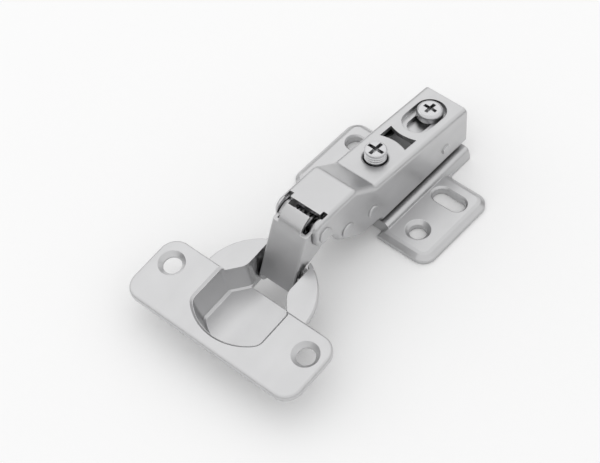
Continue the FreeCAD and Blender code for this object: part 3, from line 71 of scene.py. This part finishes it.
def map_range(tree, value, start, end, low=0.0, high=1.0):
    scale = add_node(tree, "ShaderNodeMapRange")
    scale.inputs["From Min"].default_value = start
    scale.inputs["From Max"].default_value = end
    scale.inputs["To Min"].default_value = low
    scale.inputs["To Max"].default_value = high
    tree.links.new(value, scale.inputs["Value"])
    return scale.outputs["Result"]


def spread(tree, fac, low, high):
    return map_range(tree, fac, NOISE_LOW, NOISE_HIGH, low, high)


def shade_between(tree, fac, dark, light):
    mix = add_node(tree, "ShaderNodeMix", data_type="RGBA")
    for socket, colour in (("A", dark), ("B", light)):
        if isinstance(colour, tuple):
            mix.inputs[socket].default_value = (*colour, 1)
        else:
            tree.links.new(colour, mix.inputs[socket])
    tree.links.new(fac, mix.inputs["Factor"])
    return mix.outputs["Result"]


def edge_mask(tree, rounded):
    """White along the sharp edges of a pressing, where the plating is lightened for handling wear
    and as a painted highlight.
    """
    true_face = add_node(tree, "ShaderNodeNewGeometry")
    lean = add_node(tree, "ShaderNodeVectorMath", operation="DOT_PRODUCT")
    tree.links.new(rounded, lean.inputs[0])
    tree.links.new(true_face.outputs["Normal"], lean.inputs[1])
    return map_range(tree, lean.outputs["Value"], EDGE_STARTS, EDGE_FULL)


def multiply(tree, first, second):
    product = add_node(tree, "ShaderNodeMath", operation="MULTIPLY")
    tree.links.new(first, product.inputs[0])
    tree.links.new(second, product.inputs[1])
    return product.outputs["Value"]


def plated_steel(name, dark, light, smooth, rough):
    """Plated sheet: cloudy patches and rolling marks in its grey, a fine matt grain, edges
    lightened for handling wear and as a painted highlight, and painted shade darkening the grey
    in crevices and corners."""
    material, tree, shader = new_material(name, light, smooth)
    bevel = add_node(tree, "ShaderNodeBevel", samples=6, Radius=EDGE_RADIUS)
    rounded = bevel.outputs["Normal"]
    # Handling wear and painted highlight: sharp edges are lightened, in patches, toward a pale
    # grey.
    patches = spread(tree, noise(tree, WEAR_AND_HIGHLIGHT_PATCHES), WEAR_AND_HIGHLIGHT_LEAST, 1.0)
    wear_and_highlight = multiply(tree, edge_mask(tree, rounded), patches)
    plating = shade_between(tree, noise(tree, PLATING_CLOUDS, 4.0), dark, light)
    lightened_edges = shade_between(tree, wear_and_highlight, plating, WEAR_AND_HIGHLIGHT_GREY)
    # Painted shade: where nearby walls close round a surface, its grey is darkened toward near
    # black.
    shade_occlusion = add_node(tree, "ShaderNodeAmbientOcclusion", samples=8, Distance=PAINTED_SHADE_REACH)
    unshaded_share = map_range(tree, shade_occlusion.outputs["AO"], PAINTED_SHADE_CLOSED, PAINTED_SHADE_OPEN, PAINTED_SHADE_LEAST)
    painted_shade_grey = tuple(channel * PAINTED_SHADE_SHARE for channel in dark)
    tree.links.new(shade_between(tree, unshaded_share, painted_shade_grey, lightened_edges), shader.inputs["Base Color"])
    streaks = noise(tree, ROLLING_MARKS, 2.0, ROLLING_STRETCH)
    tree.links.new(spread(tree, streaks, smooth, rough), shader.inputs["Roughness"])
    bump = add_node(tree, "ShaderNodeBump", Strength=GRAIN_STRENGTH, Distance=GRAIN_HEIGHT)
    tree.links.new(noise(tree, GRAIN, 2.0), bump.inputs["Height"])
    tree.links.new(rounded, bump.inputs["Normal"])
    tree.links.new(bump.outputs["Normal"], shader.inputs["Normal"])
    return material


# One row a finish: its name, its darker and lighter grey, its smoothest and roughest patches,
# and the pieces that have it.
FINISHES = (
    ("satin nickel on pressed steel", (0.53, 0.53, 0.535), (0.60, 0.60, 0.605), 0.30, 0.40,
     ("mounting_plate", "hinge_arm")),
    ("satin nickel on the links", (0.50, 0.50, 0.505), (0.57, 0.57, 0.575), 0.30, 0.40,
     ("outer_link", "inner_link")),
    ("satin nickel on the cup", (0.55, 0.55, 0.555), (0.62, 0.62, 0.625), 0.28, 0.38,
     ("hinge_cup",)),
    ("bright zinc on the screws", (0.55, 0.55, 0.56), (0.64, 0.64, 0.65), 0.24, 0.34,
     ("adjusting_screw", "fixing_screw")),
    ("peened rivet steel", (0.52, 0.52, 0.525), (0.60, 0.60, 0.605), 0.28, 0.40,
     ("arm_front_pin", "arm_rear_pin", "spring_pin", "cup_pin")),
    ("drawn spring wire", (0.30, 0.30, 0.31), (0.40, 0.40, 0.41), 0.26, 0.36,
     ("closing_spring",)),
)
for finish, dark, light, smooth, rough, pieces in FINISHES:
    plating = plated_steel(finish, dark, light, smooth, rough)
    for piece in pieces:
        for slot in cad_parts[piece].material_slots:
            slot.material = plating


# Studio: a pale floor, a white surround for the camera, dark cards for the metal to reflect,
# soft lamps and the photograph's viewpoint.

FLOOR_SIZE, FLOOR_DROP = 3.0, 0.12 * MM
FLOOR_DARK, FLOOR_LIGHT = (0.98, 0.98, 0.98), (0.99, 0.99, 0.99)
FLOOR_GRAIN = 14.0
ROOM_LIGHT = 0.92
CARD_REACH, CARD_HEIGHT, CARD_SIDES = 0.9, 0.17, 24
CARD_BLACK = (0.05, 0.05, 0.05)
LAMP_AIM = (0, -0.02, 0.01)
VIEW_AZIMUTH, VIEW_ELEVATION, VIEW_ROLL = 44.218, 51.200, -4.346
VIEW_TARGET = (0, -15.8, 5)
VIEW_BACK, VIEW_RIGHT, VIEW_UP = 497.488, -10.580, -0.093
LENS, SENSOR, NEAREST = 106.806, 36, 0.01


def white_for_the_eye(tree, plain, shown, output):
    """Shows one shader to the eye and in reflections, and another to everything else."""
    path = add_node(tree, "ShaderNodeLightPath")
    either = add_node(tree, "ShaderNodeMath", operation="MAXIMUM")
    third = add_node(tree, "ShaderNodeMath", operation="MAXIMUM")
    mix = add_node(tree, "ShaderNodeMixShader")
    tree.links.new(path.outputs["Is Camera Ray"], either.inputs[0])
    tree.links.new(path.outputs["Is Glossy Ray"], either.inputs[1])
    tree.links.new(either.outputs["Value"], third.inputs[0])
    tree.links.new(path.outputs["Is Transmission Ray"], third.inputs[1])
    tree.links.new(third.outputs["Value"], mix.inputs["Fac"])
    tree.links.new(plain, mix.inputs[1])
    tree.links.new(shown, mix.inputs[2])
    tree.links.new(mix.outputs["Shader"], output)


def make_floor():
    bpy.ops.object.select_all(action="DESELECT")
    bpy.ops.mesh.primitive_plane_add(size=FLOOR_SIZE, location=(0, 0, -FLOOR_DROP))
    floor = bpy.context.object
    floor.name = "floor"
    material, tree, shader = new_material("pale floor", FLOOR_LIGHT, 0.9, 0.0)
    shader.inputs["Specular IOR Level"].default_value = 0.0
    tint = shade_between(tree, noise(tree, FLOOR_GRAIN), FLOOR_DARK, FLOOR_LIGHT)
    tree.links.new(tint, shader.inputs["Base Color"])
    floor.data.materials.append(material)


def make_world():
    world = bpy.data.worlds.new("soft white room")
    bpy.context.scene.world = world
    world.use_nodes = True
    tree = world.node_tree
    plain = tree.nodes["Background"]
    plain.inputs["Color"].default_value = (1, 1, 1, 1)
    plain.inputs["Strength"].default_value = ROOM_LIGHT
    shown = add_node(tree, "ShaderNodeBackground", Color=(1, 1, 1, 1), Strength=1.0)
    surface = tree.nodes["World Output"].inputs["Surface"]
    white_for_the_eye(tree, plain.outputs["Background"], shown.outputs["Background"], surface)


def add_softbox(name, place, size, power):
    lamp = bpy.data.lights.new(name, "AREA")
    lamp.shape = "RECTANGLE"
    lamp.size, lamp.size_y = size
    lamp.energy = power
    box = bpy.data.objects.new(name, lamp)
    bpy.context.collection.objects.link(box)
    box.location = place
    towards = Vector(LAMP_AIM) - Vector(place)
    box.rotation_euler = towards.to_track_quat("-Z", "Y").to_euler()


def add_dark_cards():
    """Dark cards stood round the set, as for any photograph of bright metal: the plating reflects
    them in its bends and edges, and neither the camera nor the soft light meets them."""
    bpy.ops.object.select_all(action="DESELECT")
    bpy.ops.mesh.primitive_cylinder_add(
        vertices=CARD_SIDES, radius=CARD_REACH, depth=CARD_HEIGHT, end_fill_type="NOTHING",
        location=(0, 0, CARD_HEIGHT / 2),
    )
    cards = bpy.context.object
    cards.name = "dark cards"
    cards.visible_camera = cards.visible_diffuse = cards.visible_shadow = False
    cards.data.materials.append(new_material("black card", CARD_BLACK, 0.8, 0.0)[0])


def make_camera():
    azimuth = math.radians(VIEW_AZIMUTH)
    elevation = math.radians(VIEW_ELEVATION)
    roll = math.radians(VIEW_ROLL)
    back = Vector((
        math.sin(azimuth) * math.cos(elevation),
        -math.cos(azimuth) * math.cos(elevation),
        math.sin(elevation),
    ))
    level = Vector((math.cos(azimuth), math.sin(azimuth), 0))
    upright = back.cross(level)
    right = level * math.cos(roll) + upright * math.sin(roll)
    up = upright * math.cos(roll) - level * math.sin(roll)
    place = (Vector(VIEW_TARGET) + back * VIEW_BACK + right * VIEW_RIGHT + up * VIEW_UP) * MM
    lens = bpy.data.cameras.new("camera")
    lens.sensor_width = SENSOR
    lens.lens = LENS
    lens.clip_start = NEAREST
    camera = bpy.data.objects.new("camera", lens)
    bpy.context.collection.objects.link(camera)
    turned = Matrix((right, up, back)).transposed().to_4x4()
    camera.matrix_world = Matrix.Translation(place) @ turned
    bpy.context.scene.camera = camera


make_floor()
make_world()
add_dark_cards()
add_softbox("overhead softbox", (-0.38, 0.36, 0.75), (1.0, 1.0), 0.6)
add_softbox("left softbox", (-0.9, -0.3, 0.35), (0.5, 0.7), 0.4)
make_camera()
bpy.context.scene.view_settings.view_transform = "Standard"
